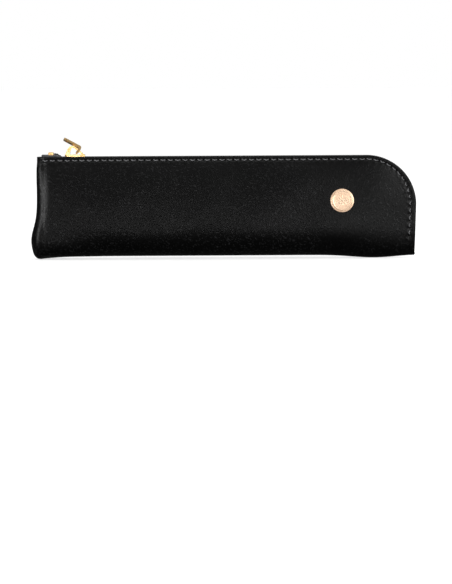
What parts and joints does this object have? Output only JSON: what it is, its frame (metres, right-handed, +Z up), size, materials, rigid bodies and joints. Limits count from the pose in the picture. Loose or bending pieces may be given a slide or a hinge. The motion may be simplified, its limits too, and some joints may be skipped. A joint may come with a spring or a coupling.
{
  "type": "fountain pen case",
  "caption": "Slim black leather pen case with a coil zip along the top and round one corner, a gold slider with pull, and a round metal badge.",
  "frame": {"origin": "on the ground under the middle of the case's box", "axes": "+X along the case towards the rounded zip corner, -Y the front face with the badge, +Z up to the zip"},
  "size_m": [0.1999, 0.025, 0.0632],
  "materials": {
    "leather": "fine pebbled grain, slightly glossy",
    "lining": "plain woven, matt",
    "tape": "woven zip tape, matt",
    "coil": "nylon coil",
    "thread": "twisted polyester thread",
    "gold_metal": "polished gold plate",
    "badge_metal": "satin rose gold plate"
  },
  "bodies": {
    "case": {"leather_body": "leather", "lining_body": "lining", "badge_base": "badge_metal", "badge_face": "badge_metal", "badge_post": "badge_metal", "badge_washer": "badge_metal", "bottom_stop": "gold_metal", "end_tab": "leather", "tape_front_left": "tape", "coil_front_left": "coil", "stitch_front_left": "thread", "tape_front_right": "tape", "coil_front_right": "coil", "stitch_front_right": "thread", "top_stop_front": "gold_metal", "tape_back_left": "tape", "coil_back_left": "coil", "stitch_back_left": "thread", "tape_back_right": "tape", "coil_back_right": "coil", "stitch_back_right": "thread", "top_stop_back": "gold_metal"},
    "front_lip": {"leather_lip_front": "leather", "lining_lip_front": "lining", "tape_front_lip": "tape", "coil_front_lip": "coil", "stitch_front_lip": "thread"},
    "back_lip": {"leather_lip_back": "leather", "lining_lip_back": "lining", "tape_back_lip": "tape", "coil_back_lip": "coil", "stitch_back_lip": "thread"},
    "slider": {"slider_body": "gold_metal", "slider_bridge": "gold_metal"},
    "pull": {"pull_tab": "gold_metal"}
  },
  "joints": [
    {"name": "slider_travel", "type": "slide", "parent": "case", "child": "slider", "axis": [1, 0, 0], "range_m": [0, 0.139], "deforming": ["coil_front_left", "coil_front_lip", "coil_front_right", "coil_back_left", "coil_back_lip", "coil_back_right"]},
    {"name": "front_lip_hinge", "type": "hinge", "parent": "case", "child": "front_lip", "pos_m": [0, -0.0126, 0.01385], "axis": [1, 0, 0], "range_deg": [0, 14]},
    {"name": "back_lip_hinge", "type": "hinge", "parent": "case", "child": "back_lip", "pos_m": [0, 0.0126, 0.01385], "axis": [-1, 0, 0], "range_deg": [0, 14]},
    {"name": "pull_hinge", "type": "hinge", "parent": "slider", "child": "pull", "pos_m": [-0.0762, 0, 0.0555], "axis": [-0.1151, 0.9703, -0.2128], "range_deg": [0, 48]}
  ],
  "couplings": [
    {"joint": "front_lip_hinge", "follows": "slider_travel", "rad_per_m": 1.7579},
    {"joint": "back_lip_hinge", "follows": "slider_travel", "rad_per_m": 1.7579}
  ]
}
